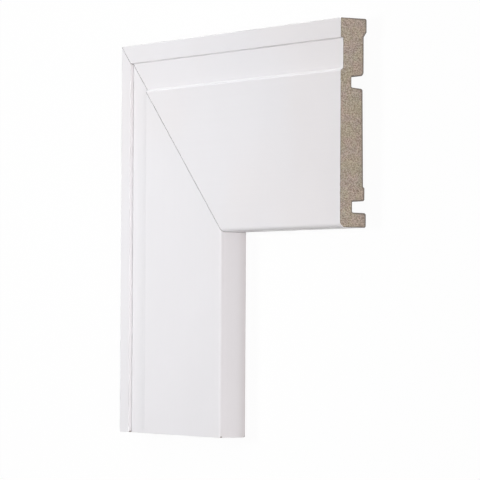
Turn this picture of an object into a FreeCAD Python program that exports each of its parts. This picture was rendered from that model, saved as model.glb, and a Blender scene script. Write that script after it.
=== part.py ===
"""Corner sample of a door architrave: two lengths of one extruded foam moulding, mitred together.

Millimetres, +Z up. The sample lies on its back, with the decorated face upward and the two back
pads on the plane Z = 0. The head runs along X, the leg runs down along -Y, and they meet at the
outer corner (-X, +Y). The origin is the middle of the sample's footprint.
"""
import FreeCAD, Part
import Sketcher
import os

# Driving dimensions: alias, value in millimetres, what it measures.
# "Outer" is the edge away from the door opening, "inner" the edge beside it.
DIMENSIONS = [
    ("head_length", 205.0, "head, along its outer edge, from the mitre's long point to the cut end"),
    ("leg_length", 203.5, "leg, along its outer edge, from the mitre's long point to the cut end"),
    ("face_width", 100.0, "moulding, from outer edge to inner edge"),
    ("thickness", 15.0, "moulding, from back pads to face"),
    ("band_width", 9.35, "raised band along the outer edge"),
    ("band_step_run", 0.5, "slope from the band down to the recess, across the face"),
    ("recess_depth", 1.45, "recess below the face"),
    ("recess_width", 14.2, "flat floor of the recess"),
    ("field_step_run", 1.2, "slope from the recess up to the main field, across the face"),
    ("field_arris_radius", 0.8, "round of the main field's edge at the recess"),
    ("nose_radius", 2.0, "round of the inner front edge"),
    ("arris_radius", 0.5, "round of the outer front edge"),
    ("pad_width", 6.5, "back pad along the outer edge"),
    ("pad_bevel_run", 2.4, "slope from the outer pad up to the back relief"),
    ("outer_relief", 1.65, "back relief between the outer pad and the outer groove"),
    ("middle_relief", 2.2, "back relief just inside the outer groove"),
    ("inner_relief", 1.7, "back relief where it meets the land"),
    ("groove_offset", 27.5, "outer edge to the near side of the outer groove's mouth"),
    ("outer_groove_mouth", 6.2, "outer groove, width at its mouth"),
    ("outer_groove_web", 6.3, "foam left between the outer groove and the face"),
    ("outer_groove_flare", 0.5, "each wall of the outer groove leans out by this much, floor to mouth"),
    ("land_width", 6.2, "land beside the inner groove"),
    ("land_step_run", 0.7, "slope from the back relief down to the land"),
    ("land_relief", 0.85, "land above the back pads"),
    ("inner_groove_mouth", 5.7, "inner groove, width at its mouth"),
    ("inner_groove_web", 7.0, "foam left between the inner groove and the face"),
    ("inner_groove_flare", 0.2, "each wall of the inner groove leans out by this much, floor to mouth"),
    ("lip_width", 7.0, "back pad along the inner edge"),
    ("back_corner_radius", 1.0, "round of the two outermost back edges"),
    ("groove_entry_radius", 2.0, "round of the outer groove's mouth on the side of the outer edge"),
    ("groove_mouth_radius", 1.1, "round of the grooves' other mouth edges"),
    ("groove_floor_radius", 0.7, "round of the corners at the grooves' floors"),
    ("mitre_overrun", 5.0, "how far the mitre's saw cut runs past the moulding"),
]
# A round takes at most this share of the flat that it eats into.
ROUND_SHARE = 0.45
# The mitre cut takes away at least this share of a length.
LEAST_MITRE_SHARE = 0.05
# Points closer than this, in millimetres, are the same point.
SAME_POINT = 1e-4


def make_sheet(doc):
    """Spreadsheet of the driving dimensions, one aliased cell to a size."""
    sheet = doc.addObject("Spreadsheet::Sheet", "Dimensions")
    for row, (alias, value, meaning) in enumerate(DIMENSIONS, start=1):
        sheet.set(f"A{row}", meaning)
        sheet.set(f"B{row}", str(value))
        sheet.setAlias(f"B{row}", alias)
    doc.recompute()
    return sheet


def origin_plane(body, role):
    """One of a body's own origin planes."""
    return next(plane for plane in body.Origin.OriginFeatures if plane.Role == role)


def new_sketch(body, name, role):
    """Empty sketch on one of a body's origin planes."""
    sketch = body.newObject("Sketcher::SketchObject", name)
    sketch.AttachmentSupport = [(origin_plane(body, role), "")]
    sketch.MapMode = "FlatFace"
    return sketch


def draw_loop(sketch, points):
    """Closed loop of lines. Line i starts at point i and ends at the next one."""
    count = len(points)
    for index, start in enumerate(points):
        end = points[(index + 1) % count]
        sketch.addGeometry(Part.LineSegment(FreeCAD.Vector(*start, 0), FreeCAD.Vector(*end, 0)))
    for index in range(count):
        sketch.addConstraint(Sketcher.Constraint("Coincident", index, 2, (index + 1) % count, 1))


def bind(sketch, kind, first, second, expression):
    """Distance from one point to another, each (line, end), bound to the sheet."""
    vector = sketch.getPoint(*second) - sketch.getPoint(*first)
    size = vector.x if kind == "DistanceX" else vector.y
    index = sketch.addConstraint(Sketcher.Constraint(kind, *first, *second, size))
    sketch.setExpression(f"Constraints[{index}]", expression)


# Corners of the section, in order round it: across the face from outer to inner edge, then back
# across the grooved back. Each name stands for the corner's number in the sketch.
CORNERS = [
    "face_outer", "band_end", "recess_start", "recess_end", "field_start", "face_inner",
    "back_inner", "lip_end", "inner_floor_near_lip", "inner_floor_near_land", "land_end",
    "land_start", "relief_end", "outer_mouth_inner", "outer_floor_inner", "outer_floor_outer",
    "outer_mouth_outer", "pad_bevel_top", "pad_end", "back_outer",
]


def section_corners(sheet):
    """Corner name to (distance from the outer edge, height above the back pads)."""
    face = sheet.thickness
    recess_start = sheet.band_width + sheet.band_step_run
    recess_end = recess_start + sheet.recess_width
    lip_end = sheet.face_width - sheet.lip_width
    land_end = lip_end - sheet.inner_groove_mouth
    land_start = land_end - sheet.land_width
    outer_mouth_inner = sheet.groove_offset + sheet.outer_groove_mouth
    inner_floor = face - sheet.inner_groove_web
    outer_floor = face - sheet.outer_groove_web
    return {
        "face_outer": (0.0, face),
        "band_end": (sheet.band_width, face),
        "recess_start": (recess_start, face - sheet.recess_depth),
        "recess_end": (recess_end, face - sheet.recess_depth),
        "field_start": (recess_end + sheet.field_step_run, face),
        "face_inner": (sheet.face_width, face),
        "back_inner": (sheet.face_width, 0.0),
        "lip_end": (lip_end, 0.0),
        "inner_floor_near_lip": (lip_end - sheet.inner_groove_flare, inner_floor),
        "inner_floor_near_land": (land_end + sheet.inner_groove_flare, inner_floor),
        "land_end": (land_end, sheet.land_relief),
        "land_start": (land_start, sheet.land_relief),
        "relief_end": (land_start - sheet.land_step_run, sheet.inner_relief),
        "outer_mouth_inner": (outer_mouth_inner, sheet.middle_relief),
        "outer_floor_inner": (outer_mouth_inner - sheet.outer_groove_flare, outer_floor),
        "outer_floor_outer": (sheet.groove_offset + sheet.outer_groove_flare, outer_floor),
        "outer_mouth_outer": (sheet.groove_offset, sheet.outer_relief),
        "pad_bevel_top": (sheet.pad_width + sheet.pad_bevel_run, sheet.outer_relief),
        "pad_end": (sheet.pad_width, 0.0),
        "back_outer": (0.0, 0.0),
    }


def draw_section(body, sheet):
    """Section of the moulding on the body's YZ plane, outer edge at Y = 0, inner edge towards -Y."""
    sketch = new_sketch(body, "Section", "YZ_Plane")
    places = section_corners(sheet)
    draw_loop(sketch, [(-places[name][0], places[name][1]) for name in CORNERS])
    point = {name: (index, 1) for index, name in enumerate(CORNERS)}

    flats = ["face_outer", "recess_start", "field_start", "back_inner", "inner_floor_near_lip",
             "land_end", "outer_floor_inner", "outer_mouth_outer", "pad_end"]
    for name in flats:
        sketch.addConstraint(Sketcher.Constraint("Horizontal", CORNERS.index(name)))
    for name in ("face_inner", "back_outer"):
        sketch.addConstraint(Sketcher.Constraint("Vertical", CORNERS.index(name)))
    for first, second in (("band_end", "field_start"), ("back_outer", "back_inner")):
        sketch.addConstraint(Sketcher.Constraint("Horizontal", *point[first], *point[second]))
    sketch.addConstraint(Sketcher.Constraint("Coincident", *point["back_outer"], -1, 1))

    # Sizes across the section, each from its inner corner to its outer corner.
    across = [
        ("back_inner", "back_outer", "face_width"),
        ("band_end", "face_outer", "band_width"),
        ("recess_start", "band_end", "band_step_run"),
        ("recess_end", "recess_start", "recess_width"),
        ("field_start", "recess_end", "field_step_run"),
        ("back_inner", "lip_end", "lip_width"),
        ("lip_end", "land_end", "inner_groove_mouth"),
        ("lip_end", "inner_floor_near_lip", "inner_groove_flare"),
        ("inner_floor_near_land", "land_end", "inner_groove_flare"),
        ("land_end", "land_start", "land_width"),
        ("land_start", "relief_end", "land_step_run"),
        ("outer_mouth_outer", "back_outer", "groove_offset"),
        ("outer_mouth_inner", "outer_mouth_outer", "outer_groove_mouth"),
        ("outer_mouth_inner", "outer_floor_inner", "outer_groove_flare"),
        ("outer_floor_outer", "outer_mouth_outer", "outer_groove_flare"),
        ("pad_bevel_top", "pad_end", "pad_bevel_run"),
        ("pad_end", "back_outer", "pad_width"),
    ]
    for inner, outer, alias in across:
        bind(sketch, "DistanceX", point[inner], point[outer], f"Dimensions.{alias}")
    # Sizes through the section, each from its lower corner to its upper corner.
    through = [
        ("back_outer", "face_outer", "thickness"),
        ("recess_start", "band_end", "recess_depth"),
        ("inner_floor_near_lip", "face_inner", "inner_groove_web"),
        ("outer_floor_inner", "face_inner", "outer_groove_web"),
        ("back_inner", "land_end", "land_relief"),
        ("back_inner", "relief_end", "inner_relief"),
        ("back_outer", "outer_mouth_inner", "middle_relief"),
        ("back_outer", "outer_mouth_outer", "outer_relief"),
    ]
    for lower, upper, alias in through:
        bind(sketch, "DistanceY", point[lower], point[upper], f"Dimensions.{alias}")
    return sketch


def edges_along(feature, corners, places):
    """Names of the edges that run along X through the named corners of the section."""
    wanted = [FreeCAD.Vector(0, -places[name][0], places[name][1]) for name in corners]
    names = []
    for index, edge in enumerate(feature.Shape.Edges, start=1):
        start, end = edge.Vertexes[0].Point, edge.Vertexes[-1].Point
        start.x = end.x = 0
        runs_along = start.distanceToPoint(end) < SAME_POINT
        if runs_along and any(start.distanceToPoint(corner) < SAME_POINT for corner in wanted):
            names.append(f"Edge{index}")
    return names


def round_edges(body, base, name, corners, places, radius):
    """Fillet along the section's named corners."""
    fillet = body.newObject("PartDesign::Fillet", name)
    fillet.Base = (base, edges_along(base, corners, places))
    fillet.setExpression("Radius", radius)
    body.Document.recompute()
    return fillet


def cut_mitre(body, sheet, direction):
    """Cut away the corner beyond the 45 degree plane through the outer edge's end at X = 0."""
    sketch = new_sketch(body, "Mitre", "XY_Plane")
    overrun = sheet.mitre_overrun
    reach = sheet.face_width + overrun
    draw_loop(sketch, [
        (-direction * overrun, overrun),
        (-direction * overrun, -reach),
        (direction * reach, -reach),
    ])
    sketch.addConstraint(Sketcher.Constraint("Vertical", 0))
    sketch.addConstraint(Sketcher.Constraint("Horizontal", 1))
    sketch.addConstraint(Sketcher.Constraint("Equal", 0, 1))
    long_point, origin = (0, 1), (-1, 1)
    ends = (long_point, origin) if direction > 0 else (origin, long_point)
    bind(sketch, "DistanceX", *ends, "Dimensions.mitre_overrun")
    bind(sketch, "DistanceY", origin, long_point, "Dimensions.mitre_overrun")
    bind(sketch, "DistanceY", (1, 1), origin, "Dimensions.face_width + Dimensions.mitre_overrun")

    whole = body.Tip.Shape.Volume
    pocket = body.newObject("PartDesign::Pocket", "MitreCut")
    pocket.Profile = sketch
    pocket.Type = "Length"
    pocket.Reversed = True
    pocket.setExpression("Length", "Dimensions.thickness + Dimensions.mitre_overrun")
    body.Document.recompute()
    if pocket.Shape.Volume > (1 - LEAST_MITRE_SHARE) * whole:
        raise RuntimeError(f"{body.Label}: the mitre cut took nothing away")
    return pocket


def place_at_corner(body, turn):
    """Put the long point of a length's mitre on the sample's outer corner, turned about Z."""
    body.Placement = FreeCAD.Placement(FreeCAD.Vector(), FreeCAD.Rotation(FreeCAD.Vector(0, 0, 1), turn))
    body.setExpression("Placement.Base.x", "-Dimensions.head_length / 2")
    body.setExpression("Placement.Base.y", "Dimensions.leg_length / 2")


def make_length(doc, sheet, label, length_alias, direction, turn):
    """One mitred length. It runs along +X (direction 1) or -X (direction -1), turned by turn degrees."""
    body = doc.addObject("PartDesign::Body", label)
    body.Label = label
    places = section_corners(sheet)
    section = draw_section(body, sheet)

    pad = body.newObject("PartDesign::Pad", "Extrusion")
    pad.Profile = section
    pad.Type = "Length"
    pad.Reversed = direction < 0
    pad.setExpression("Length", f"Dimensions.{length_alias}")
    doc.recompute()

    size = "Dimensions."
    edge = round_edges(body, pad, "Nose", ["face_inner"], places, size + "nose_radius")
    edge = round_edges(body, edge, "Arris", ["face_outer"], places, size + "arris_radius")
    edge = round_edges(body, edge, "FieldArris", ["field_start"], places, size + "field_arris_radius")
    edge = round_edges(body, edge, "BackCorners", ["back_outer", "back_inner"], places,
                       size + "back_corner_radius")
    edge = round_edges(body, edge, "GrooveEntry", ["outer_mouth_outer"], places,
                       size + "groove_entry_radius")
    mouths = ["lip_end", "land_end", "outer_mouth_inner"]
    edge = round_edges(body, edge, "GrooveMouths", mouths, places, size + "groove_mouth_radius")
    floors = {
        "inner": ["inner_floor_near_lip", "inner_floor_near_land"],
        "outer": ["outer_floor_inner", "outer_floor_outer"],
    }
    for side, corners in floors.items():
        floor_width = f"({size}{side}_groove_mouth - 2 * {size}{side}_groove_flare)"
        radius = f"min({size}groove_floor_radius; {ROUND_SHARE} * {floor_width})"
        edge = round_edges(body, edge, f"GrooveFloor_{side}", corners, places, radius)

    cut_mitre(body, sheet, direction)
    place_at_corner(body, turn)
    return body


def check(doc, pieces):
    """Stop if any object failed to compute or a piece isn't one sound solid."""
    for item in doc.Objects:
        if {"Invalid", "Error"} & set(item.State):
            raise RuntimeError(f"{item.Name}: {item.State}")
    for piece in pieces:
        shape = piece.Shape
        if shape.isNull() or not shape.isValid() or len(shape.Solids) != 1:
            raise RuntimeError(f"{piece.Label}: not one valid solid")


def main():
    doc = FreeCAD.newDocument("architrave_corner")
    sheet = make_sheet(doc)
    pieces = [
        make_length(doc, sheet, "head_piece", "head_length", direction=1, turn=0),
        make_length(doc, sheet, "leg_piece", "leg_length", direction=-1, turn=90),
    ]
    doc.recompute()
    check(doc, pieces)
    os.makedirs("parts", exist_ok=True)
    for piece in pieces:
        piece.Shape.exportStep(f"parts/{piece.Label}.step")
        print(piece.Label, round(piece.Shape.Volume, 1), "mm3", piece.Shape.BoundBox)


main()
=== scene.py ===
"""Looks of a mitred architrave corner, lying on its back: a satin white coat over extruded foam.

The scene is in metres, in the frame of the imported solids. Each length of moulding is swept again, in
millimetres, from the section of its solid, with softer edges, an open hairline at the mitre and a
saw-cut end in which the foam's open cells are real pits.
"""
import math

import bpy
import numpy as np
from mathutils import Matrix, Vector
from mathutils.geometry import delaunay_2d_cdt


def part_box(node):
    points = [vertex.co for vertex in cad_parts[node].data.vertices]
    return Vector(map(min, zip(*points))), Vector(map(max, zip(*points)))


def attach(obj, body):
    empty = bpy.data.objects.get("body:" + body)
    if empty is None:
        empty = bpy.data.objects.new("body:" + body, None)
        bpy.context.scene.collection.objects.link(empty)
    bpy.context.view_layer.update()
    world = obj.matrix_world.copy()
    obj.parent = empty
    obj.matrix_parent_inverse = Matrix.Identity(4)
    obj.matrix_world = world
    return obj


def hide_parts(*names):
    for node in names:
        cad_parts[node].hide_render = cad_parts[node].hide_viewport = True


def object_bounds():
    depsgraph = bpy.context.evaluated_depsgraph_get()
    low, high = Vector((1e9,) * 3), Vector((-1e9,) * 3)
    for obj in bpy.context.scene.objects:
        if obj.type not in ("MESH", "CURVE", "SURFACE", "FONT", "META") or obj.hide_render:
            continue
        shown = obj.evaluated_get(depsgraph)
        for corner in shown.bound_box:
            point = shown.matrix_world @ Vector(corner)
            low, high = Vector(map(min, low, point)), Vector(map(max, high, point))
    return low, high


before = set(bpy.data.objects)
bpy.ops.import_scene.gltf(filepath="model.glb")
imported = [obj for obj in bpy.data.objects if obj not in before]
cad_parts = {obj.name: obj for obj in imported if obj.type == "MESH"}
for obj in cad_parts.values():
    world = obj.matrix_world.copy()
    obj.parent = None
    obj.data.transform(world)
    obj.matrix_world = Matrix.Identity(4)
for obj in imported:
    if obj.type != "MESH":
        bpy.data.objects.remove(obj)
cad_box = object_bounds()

MM = 0.001
SEED = 7

# Fine sizes of the visible moulding, in millimetres
EDGE_EASE = 0.2
MITRE_GAP = 0.28
MITRE_EASE = 0.06
CUT_EASE = 0.06
CUT_CHIP_REACH = 1.0
COAT_RIM = 0.05

# How finely the moulding is divided: pitch of the columns in millimetres, then numbers of steps
COLUMN_PITCH = 0.7
EASE_STEPS = 4
END_STEPS = 3
LENGTH_STEPS = 30
# Rings at the cut end: those that ease its edge, and one on its face
CUT_RINGS = END_STEPS + 2
# A corner of the section that turns by less than this is part of a round and stays as it is
SHARP_TURN = math.radians(25)

# Reading the section off a solid: points this near the end lie on it, in millimetres, and places are
# rounded to this many digits. The outline starts on the round of the outer front edge, at the point
# with the least of the distance across, times the weight, less the height.
ON_END = 0.01
POINT_DIGITS = 4
START_WEIGHT = 2

# Filling an end face: keep what is inside the outline, and join points closer than this, in millimetres
INSIDE_ONLY = 1
SAME_POINT = 1e-7

# Open cells of the sawn foam, in millimetres: (cells per square millimetre, smallest, largest radius)
CELL_PITCH = 0.2
CELL_JITTER = 0.3
CELL_SIZES = [(1.6, 0.14, 0.30), (0.15, 0.30, 0.42)]
CELL_DEPTH = 0.5
SAW_ROUGHNESS = 0.03
RIM_DEPTH_FACE = 0.5
RIM_DEPTH_BACK = 1.3

# The foam's own nose is rounder than the coated one, so the coat is thickest there, in millimetres
CORE_NOSE_RADIUS = 3.6
COAT_CUT_BLUR = 0.15

# Chips on the leg's cut end, in millimetres: distance from the outer edge, height, radius, depth
LEG_CHIPS = [
    (9.6, 14.2, 1.2, 0.15),
    (99.3, 14.3, 0.9, 0.2),
    (100.0, 0.0, 1.8, 0.9),
]

# Where the coat ends on the back, and how far from that end the coat's colour carries painted shade,
# darker towards the back, in millimetres
COAT_WRAP = 1.6
COAT_FADE = 7.0
PAINTED_SHADE_FROM = 6.5
PAINTED_SHADE_TO = 1.5

# Material slots of a length, and how strongly its large faces keep their own normals
COATED, SAWN = 0, 1
FLAT_WEIGHT = 80


def cut_end_outline(node):
    """Outline of a node's end at its largest X, in millimetres: (distance from outer edge, height)."""
    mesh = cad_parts[node].data
    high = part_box(node)[1]
    corners = np.array([vertex.co for vertex in mesh.vertices])
    on_end = corners[:, 0] > high.x - ON_END * MM
    flat = np.stack([high.y - corners[:, 1], corners[:, 2]], axis=1) / MM
    names = [tuple(point) for point in np.round(flat, POINT_DIGITS)]
    mesh.calc_loop_triangles()
    edges = set()
    for triangle in mesh.loop_triangles:
        if all(on_end[index] for index in triangle.vertices):
            ids = [names[index] for index in triangle.vertices]
            for start, end in zip(ids, ids[1:] + ids[:1]):
                if (end, start) in edges:
                    edges.remove((end, start))
                else:
                    edges.add((start, end))
    ahead = dict(edges)
    outline = [min(ahead, key=lambda point: START_WEIGHT * point[0] - point[1])]
    while ahead[outline[-1]] != outline[0]:
        outline.append(ahead[outline[-1]])
    outline = np.array(outline)
    return outline if is_clockwise(outline) else np.roll(outline[::-1], 1, axis=0)


def is_clockwise(outline):
    """Whether the outline runs along the face first, then down the inner edge and back."""
    ahead = np.roll(outline, -1, axis=0)
    return np.sum(outline[:, 0] * ahead[:, 1] - ahead[:, 0] * outline[:, 1]) < 0


def eased(outline):
    """The outline with its sharp corners rounded."""
    points = []
    for index, corner in enumerate(outline):
        back = outline[index - 1] - corner
        ahead = outline[(index + 1) % len(outline)] - corner
        back /= np.linalg.norm(back)
        ahead /= np.linalg.norm(ahead)
        turn = math.pi - math.acos(np.clip(back @ ahead, -1, 1))
        if turn < SHARP_TURN:
            points.append(corner)
            continue
        trim = EDGE_EASE * math.tan(turn / 2)
        for share in np.linspace(0, 1, EASE_STEPS + 1):
            near = corner + back * trim * (1 - share)
            far = corner + ahead * trim * share
            points.append(near * (1 - share) + far * share)
    return np.array(points)


def divided(outline):
    """The outline with its long runs divided to about one column pitch."""
    points = []
    for start, end in zip(outline, np.roll(outline, -1, axis=0)):
        parts = max(1, round(float(np.linalg.norm(end - start)) / COLUMN_PITCH))
        points += [start + (end - start) * part / parts for part in range(parts)]
    return np.array(points)


def inward(outline):
    """Unit normals of a clockwise outline, pointing into the section."""
    along = np.roll(outline, -1, axis=0) - np.roll(outline, 1, axis=0)
    along /= np.linalg.norm(along, axis=1, keepdims=True)
    return np.stack([along[:, 1], -along[:, 0]], axis=1)


def travel_round(outline):
    """Distance round the outline to each of its points."""
    return np.cumsum(np.linalg.norm(outline - np.roll(outline, 1, axis=0), axis=1))


def inside(points, outline):
    """Which points lie inside the outline."""
    across, height = points.T
    result = np.zeros(len(points), bool)
    for start, end in zip(outline, np.roll(outline, -1, axis=0)):
        if start[1] == end[1]:
            continue
        level = start[0] + (height - start[1]) * (end[0] - start[0]) / (end[1] - start[1])
        result ^= ((start[1] > height) != (end[1] > height)) & (across < level)
    return result


def gap_to(points, outline):
    """Distance from each point to the outline."""
    nearest = np.full(len(points), np.inf)
    for start, end in zip(outline, np.roll(outline, -1, axis=0)):
        run = end - start
        share = np.clip((points - start) @ run / (run @ run), 0, 1)
        nearest = np.minimum(nearest, np.linalg.norm(points - start - share[:, None] * run, axis=1))
    return nearest


def cell_points(outline, random):
    """Jittered points that fill the section, about CELL_PITCH apart, clear of the outline."""
    rows = np.arange(outline[:, 1].min(), outline[:, 1].max(), CELL_PITCH * math.sqrt(3) / 2)
    columns = np.arange(outline[:, 0].min(), outline[:, 0].max(), CELL_PITCH)
    across, height = np.meshgrid(columns, rows)
    across = across + (np.arange(len(rows)) % 2)[:, None] * CELL_PITCH / 2
    points = np.stack([across.ravel(), height.ravel()], axis=1)
    points += random.uniform(-CELL_JITTER, CELL_JITTER, points.shape) * CELL_PITCH
    points = points[inside(points, outline)]
    return points[gap_to(points, outline) > CELL_PITCH / 2]


def open_cells(points, random):
    """Depth of the sawn-open foam cells at each point, in millimetres."""
    depth = np.zeros(len(points))
    low, high = points.min(axis=0), points.max(axis=0)
    for density, smallest, largest in CELL_SIZES:
        for _ in range(round(density * np.prod(high - low))):
            centre = random.uniform(low, high)
            radius = random.uniform(smallest, largest)
            off = np.sum((points - centre) ** 2, axis=1) / radius ** 2
            depth = np.maximum(depth, CELL_DEPTH * radius * np.clip(1 - off, 0, 1))
    return depth


def fill(outline, extra):
    """Triangles over the section, as indices into the outline's points and then the extra ones."""
    points = [Vector(point) for point in outline] + [Vector(point) for point in extra]
    found = delaunay_2d_cdt(points, [], [list(range(len(outline)))], INSIDE_ONLY, SAME_POINT)
    places, triangles, origins = found[0], found[2], found[3]
    if len(places) != len(points):
        raise RuntimeError("the fill of the section moved or lost points")
    return np.array([[origins[corner][0] for corner in triangle] for triangle in triangles])


def coat_reach(outline):
    """How far each outline point lies inside the coated stretch, along the outline: below 0 is bare."""
    travel = travel_round(outline)
    on_back = outline[:, 1] < COAT_WRAP
    inner_end = travel[on_back & (outline[:, 0] > outline[:, 0].max() - COAT_WRAP)].max()
    outer_end = travel[on_back & (outline[:, 0] < COAT_WRAP)].min()
    to_bare = np.where(travel < (inner_end + outer_end) / 2, inner_end - travel, travel - outer_end)
    return np.clip(to_bare, -COAT_FADE, COAT_FADE)


def cut_coat_reach(points, outline):
    """The coat's reach over the cut end: the coat fills the nose out beyond the rounder foam."""
    centre = outline.max(axis=0) - CORE_NOSE_RADIUS
    beyond = np.linalg.norm(np.clip(points - centre, 0, None), axis=1) - CORE_NOSE_RADIUS
    return COAT_FADE * np.clip(2 * beyond / COAT_CUT_BLUR - 1, -1, 1)


def chip_marks(points, chips):
    """Two marks on points of the cut end: nearness to a chip, 0 to 1, and how far worn back."""
    near = np.zeros(len(points))
    worn = np.zeros(len(points))
    for across, height, radius, depth in chips:
        mark = np.clip(1 - np.linalg.norm(points - (across, height), axis=1) / radius, 0, 1)
        near = np.maximum(near, mark)
        worn = np.maximum(worn, depth * mark)
    return near, worn


def sweep_rings(outline, length, chips):
    """Rings of the sweep, from the mitre to the cut end: (points of the section, distance along).

    The first and last rings lie on the end faces, inside the thickness of the coat.
    """
    normals = inward(outline)
    quarter = np.linspace(0, math.pi / 2, END_STEPS + 1)
    rings = []

    def mitre_ring(inset, clear):
        ring = outline + normals * inset
        rings.append((ring, ring[:, 0] + (MITRE_GAP / 2 + clear) * math.sqrt(2)))

    def square_ring(inset, short):
        ring = outline + normals * inset
        rings.append((ring, length - short - chip_marks(ring, chips)[1]))

    mitre_ring(MITRE_EASE + COAT_RIM, 0)
    for angle in quarter:
        mitre_ring(MITRE_EASE * (1 - math.sin(angle)), MITRE_EASE * (1 - math.cos(angle)))
    start = rings[-1][1]
    stop = length - CUT_EASE - CUT_CHIP_REACH
    for share in np.linspace(0, 1, LENGTH_STEPS + 1)[1:]:
        rings.append((outline, start + share * (stop - start)))
    for angle in quarter:
        square_ring(CUT_EASE * (1 - math.cos(angle)), CUT_EASE * (1 - math.sin(angle)))
    square_ring(CUT_EASE + COAT_RIM, 0)
    return rings


def side_faces(ring_count, columns):
    """Quads between neighbouring rings."""
    ring, column = np.meshgrid(np.arange(ring_count - 1), np.arange(columns), indexing="ij")
    here = ring * columns + column
    beside = ring * columns + (column + 1) % columns
    return np.stack([here, beside, beside + columns, here + columns], axis=-1).reshape(-1, 4)


class Sweep:
    """Points and faces of one mitred length, in millimetres.

    The points are those of the rings, then those that fill the cut end with open cells. The faces are
    the quads of the sides and the triangles of the two ends.
    """

    def __init__(self, length, mirrored, chips, random):
        self.length = length
        self.chips = chips
        self.outline = divided(eased(SECTION))
        self.columns = len(self.outline)
        self.rings = sweep_rings(self.outline, length, chips)
        self.cut_ring = self.rings[-1][0]
        self.cells = cell_points(self.cut_ring, random)
        self.pits = open_cells(self.cells, random)
        saw_marks = random.uniform(0, SAW_ROUGHNESS, len(self.cells))
        cell_along = length - self.pits - saw_marks - chip_marks(self.cells, chips)[1]
        self.section = np.concatenate([ring for ring, _ in self.rings] + [self.cells])
        self.along = np.concatenate([travel for _, travel in self.rings] + [cell_along])

        last_ring = (len(self.rings) - 1) * self.columns
        mitre_end = fill(self.rings[0][0], [])
        cut_end = fill(self.cut_ring, self.cells)[:, ::-1] + last_ring
        self.sides = side_faces(len(self.rings), self.columns)
        self.ends = np.concatenate([mitre_end, cut_end])
        if mirrored:
            self.sides, self.ends = self.sides[:, ::-1], self.ends[:, ::-1]


def lay_map(mesh, sweep):
    """The lengthwise map, in metres: along and round the moulding on its sides, flat on its ends."""
    travel = travel_round(sweep.outline)
    side_round = np.tile(travel, len(sweep.rings))[sweep.sides]
    wraps = side_round.max(axis=1, keepdims=True) - side_round > travel[-1] / 2
    side_round = np.where(wraps, side_round + travel[-1], side_round)
    side_uv = np.stack([sweep.along[sweep.sides], side_round], axis=-1).reshape(-1, 2)
    end_uv = sweep.section[sweep.ends].reshape(-1, 2)
    uv = np.concatenate([side_uv, end_uv]) * MM
    mesh.uv_layers.new(name="lengthwise").data.foreach_set("uv", uv.ravel().astype(np.float32))


def add_attribute(mesh, name, values):
    """A number for each point of the mesh."""
    mesh.attributes.new(name, "FLOAT", "POINT").data.foreach_set("value", values.astype(np.float32))


def mark_points(mesh, sweep):
    """Marks that steer the materials: the coat's reach, open cells, the foam's rim, and chips."""
    outline, cells = sweep.outline, sweep.cells
    mitre_reach = np.full(sweep.columns, -COAT_FADE)
    side_reach = np.tile(coat_reach(outline), len(sweep.rings) - 2)
    cut_reach = cut_coat_reach(np.concatenate([sweep.cut_ring, cells]), outline)
    add_attribute(mesh, "coat_reach", np.concatenate([mitre_reach, side_reach, cut_reach]))

    on_rings = np.zeros(len(sweep.rings) * sweep.columns)
    deepest = CELL_DEPTH * max(largest for _, _, largest in CELL_SIZES)
    add_attribute(mesh, "pit", np.concatenate([on_rings, sweep.pits / deepest]))
    rim_depth = np.interp(cells[:, 1], (0, outline[:, 1].max()), (RIM_DEPTH_BACK, RIM_DEPTH_FACE))
    rim = np.clip(gap_to(cells, outline) / rim_depth, 0, 1)
    add_attribute(mesh, "core", np.concatenate([on_rings, rim]))

    add_attribute(mesh, "cut_near", np.clip((sweep.along - sweep.length) / CUT_CHIP_REACH + 1, 0, 1))
    on_end = np.arange(len(sweep.along)) >= (len(sweep.rings) - CUT_RINGS) * sweep.columns
    add_attribute(mesh, "chip", np.where(on_end, chip_marks(sweep.section, sweep.chips)[0], 0))


def lay_materials(mesh, sweep, materials):
    """Coated sides and sawn ends. The first and last rows of quads lie on the ends."""
    for material in materials:
        mesh.materials.append(material)
    slots = np.full(len(sweep.sides) + len(sweep.ends), SAWN, np.int32)
    slots[sweep.columns:len(sweep.sides) - sweep.columns] = COATED
    mesh.polygons.foreach_set("material_index", slots)


def build_length(name, node, length, place, mirrored, chips, materials, seed):
    """One mitred length of moulding, shown instead of a node."""
    sweep = Sweep(length, mirrored, chips, np.random.default_rng(seed))
    mesh = bpy.data.meshes.new(name)
    places = place(sweep.along * MM, sweep.section[:, 0] * MM, sweep.section[:, 1] * MM)
    mesh.from_pydata(places.tolist(), [], sweep.sides.tolist() + sweep.ends.tolist())
    lay_map(mesh, sweep)
    mark_points(mesh, sweep)
    lay_materials(mesh, sweep, materials)
    mesh.shade_smooth()
    mesh.validate()
    piece = bpy.data.objects.new(name, mesh)
    bpy.context.scene.collection.objects.link(piece)
    weighted = piece.modifiers.new("flat_faces_stay_flat", "WEIGHTED_NORMAL")
    weighted.weight = FLAT_WEIGHT
    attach(piece, "root")
    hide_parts(node)


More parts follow.
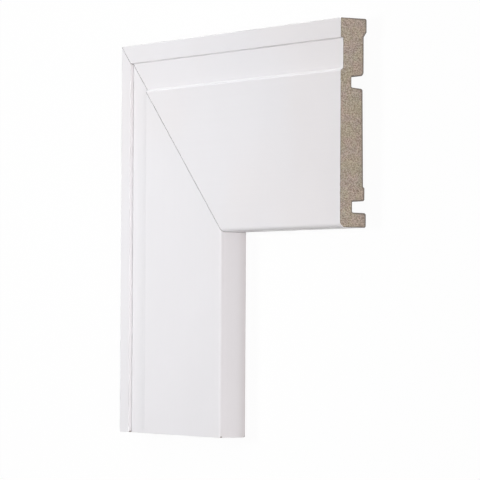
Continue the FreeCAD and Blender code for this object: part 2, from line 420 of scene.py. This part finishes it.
class Graph:
    """A material's or world's node tree, with short ways to add nodes and links."""

    def __init__(self, owner):
        owner.use_nodes = True
        self.tree = owner.node_tree
        self.tree.nodes.clear()

    def add(self, kind, inputs=None, **settings):
        """A node. Each input is a value, or another node's output to link."""
        node = self.tree.nodes.new(kind)
        for name, value in settings.items():
            setattr(node, name, value)
        for name, value in (inputs or {}).items():
            if isinstance(value, bpy.types.NodeSocket):
                self.tree.links.new(value, node.inputs[name])
            else:
                node.inputs[name].default_value = value
        return node

    def math(self, operation, first, second):
        return self.add("ShaderNodeMath", {0: first, 1: second}, operation=operation).outputs[0]

    def weighed(self, first, second, shares):
        """The sum of two values, each times its share."""
        return self.math("ADD", self.math("MULTIPLY", first, shares[0]),
                         self.math("MULTIPLY", second, shares[1]))

    def noise(self, vector, scale, detail, roughness):
        inputs = {"Vector": vector, "Scale": scale, "Detail": detail, "Roughness": roughness}
        return self.add("ShaderNodeTexNoise", inputs).outputs[0]

    def between(self, value, low, high, to_low=0.0, to_high=1.0):
        """The value, eased from the range low to high onto the range to_low to to_high."""
        inputs = {"Value": value, "From Min": low, "From Max": high, "To Min": to_low, "To Max": to_high}
        return self.add("ShaderNodeMapRange", inputs, interpolation_type="SMOOTHSTEP").outputs[0]

    def mix(self, share, first, second, **settings):
        """Two colours mixed. The node's colour inputs are its sixth and seventh, counted from 0."""
        inputs = {0: share, 6: first, 7: second}
        return self.add("ShaderNodeMix", inputs, data_type="RGBA", **settings).outputs[2]

    def blend(self, share, first, second):
        """A colour between two colours, each an output or a linear red, green and blue."""
        ends = [end if isinstance(end, bpy.types.NodeSocket) else (*end, 1.0) for end in (first, second)]
        return self.mix(share, *ends)

    def tinted(self, colour, tint):
        """A colour multiplied by another."""
        return self.mix(1.0, colour, tint, blend_type="MULTIPLY")

    def attribute(self, name):
        return self.add("ShaderNodeAttribute", attribute_name=name).outputs["Fac"]

    def bump(self, height, strength, distance, normal=None):
        inputs = {"Height": height, "Strength": strength, "Distance": distance}
        if normal is not None:
            inputs["Normal"] = normal
        return self.add("ShaderNodeBump", inputs).outputs[0]

    def surface(self, inputs):
        return self.add("ShaderNodeBsdfPrincipled", inputs).outputs[0]

    def finish(self, shader, kind="ShaderNodeOutputMaterial"):
        self.add(kind, {"Surface": shader})


# Colours, linear
COAT_LIGHT = (0.866, 0.853, 0.876)
COAT_DARK = (0.850, 0.837, 0.860)
# Pink and lavender tints of the coat: partly a random drift of hue, partly painted warm and cool light
COAT_PINK_WARM_LIGHT_TINT = (1.005, 0.995, 0.986)
COAT_LAVENDER_COOL_LIGHT_TINT = (0.995, 1.001, 1.005)
# Painted shade: the coat's tint away from the back edge, then its darker tint near that edge
UNSHADED_TINT = (1.0, 1.0, 1.0)
PAINTED_SHADE_TINT = (0.915, 0.905, 0.895)
SKIN_LIGHT = (0.30, 0.265, 0.235)
SKIN_DARK = (0.20, 0.18, 0.16)
CORE_LIGHT = (0.605, 0.528, 0.440)
CORE_DARK = (0.308, 0.259, 0.211)
CORE_OLIVE_TINT = (0.975, 1.015, 0.965)
CORE_PINK_TINT = (1.025, 0.985, 1.035)
CORE_WARM_TINT = (1.015, 1.0, 0.97)
CORE_GREY_TINT = (0.985, 1.0, 1.03)
CORE_RIM = (0.19, 0.175, 0.16)
# Painted shade inside the sawn-open cells
CORE_PIT_SHADE = (0.25, 0.2, 0.153)

# Noises: scale per metre, detail, roughness. Two of them are stretched first, along and across.
COAT_DRIFT = (22.0, 3.0, 0.5)
COAT_HUE = (9.0, 2.0, 0.5)
COAT_PEEL = (1300.0, 2.0, 0.5)
COAT_WANDER = (420.0, 4.0, 0.65)
COAT_CHIPS = (700.0, 3.0, 0.6)
DRAW_LINES = (1.0, 3.0, 0.5)
DRAW_LINES_STRETCH = (6.0, 900.0)
SKIN_STREAKS = (1.0, 4.0, 0.6)
SKIN_STREAKS_STRETCH = (14.0, 1600.0)
SKIN_CELLS = (2200.0, 2.0, 0.5)
CORE_SPECKLE = (1700.0, 3.0, 0.65)
CORE_HUE = (170.0, 4.0, 0.6)
CORE_WARMTH = (90.0, 4.0, 0.7)
NOISE_MIDDLE = 0.5
# Shift of the coat's hue noise, in metres, which sets where pink and lavender fall, and so where the
# painted warm and cool light lies
COAT_HUE_AND_LIGHT_PLACE = (0.65, 0.35, 1.05)

# Shares of drift and draw lines in the coat's tone, and of streaks and cells in the skin's grain
TONE_SHARES = (0.7, 0.3)
GRAIN_SHARES = (0.65, 0.35)

# Stretches of a noise or mark over which a material changes
TONE_RANGE = (0.3, 0.7)
COAT_HUE_RANGE = (0.38, 0.62)
GRAIN_RANGE = (0.35, 0.65)
SPECKLE_RANGE = (0.38, 0.62)
CORE_HUE_RANGE = (0.36, 0.64)
PIT_SHADE_RANGE = (0.05, 0.8)
COAT_END_RANGE = (-0.15, 0.15)
CUT_COAT_RANGE = (-0.3, 0.3)
SMALL_CHIP_RANGE = (0.58, 0.62)
CHIP_RANGE = (0.3, 0.45)

# How far the noise moves the end of the coat, in millimetres, and the edge of a chip, as a mark
COAT_END_WANDER = 2.4
CHIP_WANDER = 0.3

# Gloss: ranges of roughness, and levels of specular light
COAT_ROUGHNESS = (0.21, 0.265)
BARE_ROUGHNESS = (0.8, 0.95)
SKIN_SPECULAR = 0.12
CORE_SPECULAR = 0.2

# Bumps: strength, and height in metres
DRAW_LINES_BUMP = (0.12, 0.06 * MM)
PEEL_BUMP = (0.12, 0.04 * MM)
SKIN_BUMP = (0.5, 0.12 * MM)
CORE_BUMP = (0.5, 0.15 * MM)


def object_place(graph):
    return graph.add("ShaderNodeTexCoord").outputs["Object"]


def stretched_uv(graph, along, across):
    """The lengthwise map, scaled apart along and across the extrusion."""
    uv = graph.add("ShaderNodeUVMap", uv_map="lengthwise").outputs[0]
    return graph.add("ShaderNodeMapping", {"Vector": uv, "Scale": (along, across, 1.0)}).outputs[0]


def white_coat(graph, place):
    """Satin white with a slight drift of tone, a pink and lavender tint that is partly painted warm and
    cool light, and painted shade towards the back.
    """
    drift = graph.noise(place, *COAT_DRIFT)
    draw_lines = graph.noise(stretched_uv(graph, *DRAW_LINES_STRETCH), *DRAW_LINES)
    tone = graph.weighed(drift, draw_lines, TONE_SHARES)
    white = graph.blend(graph.between(tone, *TONE_RANGE), COAT_DARK, COAT_LIGHT)
    # Pink and lavender drift: partly random hue, partly painted warm and cool light
    hue_place = graph.add("ShaderNodeMapping", {"Vector": place, "Location": COAT_HUE_AND_LIGHT_PLACE}).outputs[0]
    pink = graph.between(graph.noise(hue_place, *COAT_HUE), *COAT_HUE_RANGE)
    white = graph.tinted(white, graph.blend(pink, COAT_LAVENDER_COOL_LIGHT_TINT, COAT_PINK_WARM_LIGHT_TINT))
    # Painted shade: the coat's colour darkens towards the back edge
    full = graph.between(graph.attribute("coat_reach"), PAINTED_SHADE_TO, PAINTED_SHADE_FROM)
    white = graph.tinted(white, graph.blend(full, PAINTED_SHADE_TINT, UNSHADED_TINT))
    peel_bump = graph.bump(graph.noise(place, *COAT_PEEL), *PEEL_BUMP)
    return graph.surface({
        "Base Color": white,
        "Roughness": graph.between(drift, *TONE_RANGE, *COAT_ROUGHNESS),
        "Normal": graph.bump(draw_lines, *DRAW_LINES_BUMP, peel_bump),
    })


def bare_skin(graph, place):
    """The extrusion's own skin: grey-brown, streaked lengthwise, with small cells."""
    streaks = graph.noise(stretched_uv(graph, *SKIN_STREAKS_STRETCH), *SKIN_STREAKS)
    grain = graph.weighed(streaks, graph.noise(place, *SKIN_CELLS), GRAIN_SHARES)
    return graph.surface({
        "Base Color": graph.blend(graph.between(grain, *GRAIN_RANGE), SKIN_DARK, SKIN_LIGHT),
        "Roughness": graph.between(streaks, *TONE_RANGE, *BARE_ROUGHNESS),
        "Specular IOR Level": SKIN_SPECULAR,
        "Normal": graph.bump(grain, *SKIN_BUMP),
    })


def coat_cover(graph, place):
    """1 where the coat is whole, 0 where it has ended on the back or is chipped at the cut end."""
    wander = graph.math("SUBTRACT", graph.noise(place, *COAT_WANDER), NOISE_MIDDLE)
    end_wander = graph.math("MULTIPLY", wander, COAT_END_WANDER)
    reach = graph.math("ADD", graph.attribute("coat_reach"), end_wander)
    small_chips = graph.math("MULTIPLY", graph.noise(place, *COAT_CHIPS), graph.attribute("cut_near"))
    chips = graph.math("ADD", graph.attribute("chip"), graph.math("MULTIPLY", wander, CHIP_WANDER))
    chipped = graph.math("MAXIMUM", graph.between(small_chips, *SMALL_CHIP_RANGE),
                         graph.between(chips, *CHIP_RANGE))
    whole = graph.math("SUBTRACT", 1.0, chipped)
    return graph.math("MULTIPLY", graph.between(reach, *COAT_END_RANGE), whole)


def coated_foam():
    """Satin white coat on face and edges, bare extruded skin on the back, a ragged line between them."""
    material = bpy.data.materials.new("coated_foam")
    graph = Graph(material)
    place = object_place(graph)
    layers = {0: coat_cover(graph, place), 1: bare_skin(graph, place), 2: white_coat(graph, place)}
    graph.finish(graph.add("ShaderNodeMixShader", layers).outputs[0])
    return material


def sawn_foam():
    """Bare core where the saw went through: fine speckle, painted shade in the open cells, a denser rim.
    """
    material = bpy.data.materials.new("sawn_foam")
    graph = Graph(material)
    place = object_place(graph)
    speckle = graph.noise(place, *CORE_SPECKLE)
    colour = graph.blend(graph.between(speckle, *SPECKLE_RANGE), CORE_DARK, CORE_LIGHT)
    pink = graph.between(graph.noise(place, *CORE_HUE), *CORE_HUE_RANGE)
    colour = graph.tinted(colour, graph.blend(pink, CORE_OLIVE_TINT, CORE_PINK_TINT))
    warm = graph.between(graph.noise(place, *CORE_WARMTH), *CORE_HUE_RANGE)
    colour = graph.tinted(colour, graph.blend(warm, CORE_GREY_TINT, CORE_WARM_TINT))
    colour = graph.blend(graph.between(graph.attribute("core"), 0.0, 1.0), CORE_RIM, colour)
    # Painted shade: the open cells darken with their depth
    colour = graph.blend(graph.between(graph.attribute("pit"), *PIT_SHADE_RANGE), colour, CORE_PIT_SHADE)
    edge_coat = graph.between(graph.attribute("coat_reach"), *CUT_COAT_RANGE)
    colour = graph.blend(edge_coat, colour, COAT_DARK)
    graph.finish(graph.surface({
        "Base Color": colour,
        "Roughness": graph.between(speckle, *TONE_RANGE, *BARE_ROUGHNESS),
        "Specular IOR Level": CORE_SPECULAR,
        "Normal": graph.bump(speckle, *CORE_BUMP),
    }))
    return material


# Studio. A lamp's level is how bright a white surface that faces it becomes, as a share of full white.
WHITE = (1.0, 1.0, 1.0, 1.0)
WHITE_LIGHT = (1.0, 1.0, 1.0)
WARM_LIGHT = (1.0, 0.957, 0.945)
BACKDROP = 1.0
# Sky: direction of its brightest part, brightness there, and how narrow it is
SKY_CENTRE = (0.0, 0.8, 0.6)
SKY_LEVEL = 0.85
SKY_FOCUS = 3.0
# Floor: side in metres, its colour as it lights the object and as it is seen, and the shares of plain
# white that cover it when it is seen directly and in reflections
FLOOR_SIDE = 16.0
FLOOR_SHADE = (0.5, 0.5, 0.5)
FLOOR_WHITE = (0.95, 0.95, 0.95)
FLOOR_GLOW = 0.96
FLOOR_GLOW_MIRRORED = 0.3
LAMPS = [
    # name, place and aim in metres, width, height, level, spread in degrees, colour
    ("key", (-1.02, 0.08, 1.22), (-0.035, 0.03, 0.0), 0.3, 0.3, 0.975, 40, WHITE_LIGHT),
    ("front", (3.82, -0.35, 1.04), (0.0, 0.0, 0.0), 1.2, 1.8, 0.635, 179, WARM_LIGHT),
    ("end_fill", (0.03, -0.42, 0.05), (-0.055, -0.10, 0.008), 0.12, 0.08, 0.20, 27, WARM_LIGHT),
]
CARDS = [
    # name, place and aim in metres, width, height, brightness. Cards show in reflections only.
    ("rim_card", (-2.35, 1.90, 0.40), (0.0, 0.0, 0.0), 1.6, 0.8, 2.3),
    ("top_card", (-0.10, 0.05, 1.2), (0.0, 0.0, 0.0), 0.9, 1.0, 2.2),
]


def seen_rays(graph):
    """Two marks: 1 for rays from the camera, and 1 for rays from a reflection or through glass."""
    path = graph.add("ShaderNodeLightPath")
    mirrored = graph.math("MAXIMUM", path.outputs["Is Glossy Ray"], path.outputs["Is Transmission Ray"])
    return path.outputs["Is Camera Ray"], mirrored


def light_world():
    """Soft sky light from beyond the head's outer edge. Seen or reflected, the sky is plain white."""
    world = bpy.data.worlds.new("studio")
    bpy.context.scene.world = world
    graph = Graph(world)
    direction = graph.add("ShaderNodeTexCoord").outputs["Generated"]
    toward = graph.add("ShaderNodeVectorMath", {0: direction, 1: SKY_CENTRE}, operation="DOT_PRODUCT")
    lobe = graph.math("POWER", graph.math("MAXIMUM", toward.outputs["Value"], 0.0), SKY_FOCUS)
    level = graph.math("MULTIPLY", lobe, SKY_LEVEL)
    sky = graph.add("ShaderNodeBackground", {"Color": WHITE, "Strength": level}).outputs[0]
    backdrop = graph.add("ShaderNodeBackground", {"Color": WHITE, "Strength": BACKDROP}).outputs[0]
    seen = graph.math("MAXIMUM", *seen_rays(graph))
    mixed = graph.add("ShaderNodeMixShader", {0: seen, 1: sky, 2: backdrop}).outputs[0]
    graph.finish(mixed, "ShaderNodeOutputWorld")


def floor_paper():
    """Paper that lights the object as a mid grey does and shows as white, with a trace of shadow."""
    material = bpy.data.materials.new("floor_paper")
    graph = Graph(material)
    direct, mirrored = seen_rays(graph)
    seen = graph.math("MAXIMUM", direct, mirrored)
    paper = graph.add("ShaderNodeBsdfDiffuse", {"Color": graph.blend(seen, FLOOR_SHADE, FLOOR_WHITE)})
    glow = graph.add("ShaderNodeEmission", {"Color": WHITE, "Strength": BACKDROP})
    share = graph.math("MAXIMUM", graph.math("MULTIPLY", direct, FLOOR_GLOW),
                       graph.math("MULTIPLY", mirrored, FLOOR_GLOW_MIRRORED))
    mixed = graph.add("ShaderNodeMixShader", {0: share, 1: paper.outputs[0], 2: glow.outputs[0]})
    graph.finish(mixed.outputs[0])
    return material


def lay_floor():
    """Square floor under the back pads."""
    half = FLOOR_SIDE / 2
    mesh = bpy.data.meshes.new("floor")
    corners = [(-half, -half, 0), (half, -half, 0), (half, half, 0), (-half, half, 0)]
    mesh.from_pydata(corners, [], [(0, 1, 2, 3)])
    mesh.materials.append(floor_paper())
    floor = bpy.data.objects.new("floor", mesh)
    floor.location.z = cad_box[0][2]
    bpy.context.scene.collection.objects.link(floor)


def hang_panel(name, place, aim, width, height, energy):
    """A soft lit panel that faces a point of the object."""
    light = bpy.data.lights.new(name, "AREA")
    light.shape = "RECTANGLE"
    light.size = width
    light.size_y = height
    light.energy = energy
    panel = bpy.data.objects.new(name, light)
    panel.location = place
    panel.rotation_euler = (Vector(place) - Vector(aim)).to_track_quat("Z", "Y").to_euler()
    bpy.context.scene.collection.objects.link(panel)
    return panel


def light_studio():
    """Lamps for the light, and cards for the lines of gloss along the edges."""
    for name, place, aim, width, height, level, spread, colour in LAMPS:
        half_spread = math.radians(spread) / 2
        # A narrow lamp needs less power for the same level on its axis.
        focus = 1 - half_spread / math.tan(half_spread)
        reach = (Vector(place) - Vector(aim)).length_squared
        lamp = hang_panel(name, place, aim, width, height, level * math.pi ** 2 * reach * focus)
        lamp.data.spread = 2 * half_spread
        lamp.data.color = colour
        lamp.visible_glossy = False
        lamp.visible_camera = False
    for name, place, aim, width, height, brightness in CARDS:
        card = hang_panel(name, place, aim, width, height, brightness * math.pi * width * height)
        card.visible_diffuse = False


# Camera of the photograph, fitted to the moulding's edges. The eye is given from the outer front
# corner of the mitre, in millimetres. Yaw, pitch and roll, in degrees, turn the moulding's axes into
# the picture's. The sensor is in millimetres, and nothing nearer than the clip, in metres, is shown.
FOCAL_PIXELS = 3181.9
PICTURE_PIXELS = 480
SENSOR = 36.0
EYE = (1451.3, -144.0, 854.6)
YAW, PITCH, ROLL = -57.358, -1.4303, -0.2978
NEAR_CLIP = 0.01


def set_camera():
    """The photograph's camera."""
    camera = bpy.data.cameras.new("camera")
    camera.sensor_width = SENSOR
    camera.lens = FOCAL_PIXELS / PICTURE_PIXELS * SENSOR
    camera.clip_start = NEAR_CLIP
    turn = (Matrix.Rotation(math.radians(ROLL), 3, "Z") @ Matrix.Rotation(math.radians(PITCH), 3, "X")
            @ Matrix.Rotation(math.radians(YAW), 3, "Y"))
    holder = bpy.data.objects.new("camera", camera)
    corner = Vector((cad_box[0][0], cad_box[1][1], cad_box[1][2]))
    holder.matrix_world = Matrix.Translation(corner + Vector(EYE) * MM) @ turn.transposed().to_4x4()
    bpy.context.scene.collection.objects.link(holder)
    bpy.context.scene.camera = holder


# Section of both lengths, and the outer corner on the floor where their mitre starts
SECTION = cut_end_outline("head_piece")
CORNER = Vector((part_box("head_piece")[0].x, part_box("head_piece")[1].y, 0))


def along_head(along, across, height):
    """Places on the head, which runs from the corner along +X."""
    return np.stack([CORNER.x + along, CORNER.y - across, height], axis=1)


def along_leg(along, across, height):
    """Places on the leg, which runs from the corner along -Y."""
    return np.stack([CORNER.x + across, CORNER.y - along, height], axis=1)


def main():
    materials = [coated_foam(), sawn_foam()]
    head_low, head_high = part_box("head_piece")
    leg_low, leg_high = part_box("leg_piece")
    build_length("head_moulding", "head_piece", (head_high.x - head_low.x) / MM, along_head,
                 mirrored=False, chips=[], materials=materials, seed=SEED)
    build_length("leg_moulding", "leg_piece", (leg_high.y - leg_low.y) / MM, along_leg,
                 mirrored=True, chips=LEG_CHIPS, materials=materials, seed=SEED + 1)
    light_world()
    lay_floor()
    light_studio()
    set_camera()
    bpy.context.scene.view_settings.view_transform = "Standard"


main()
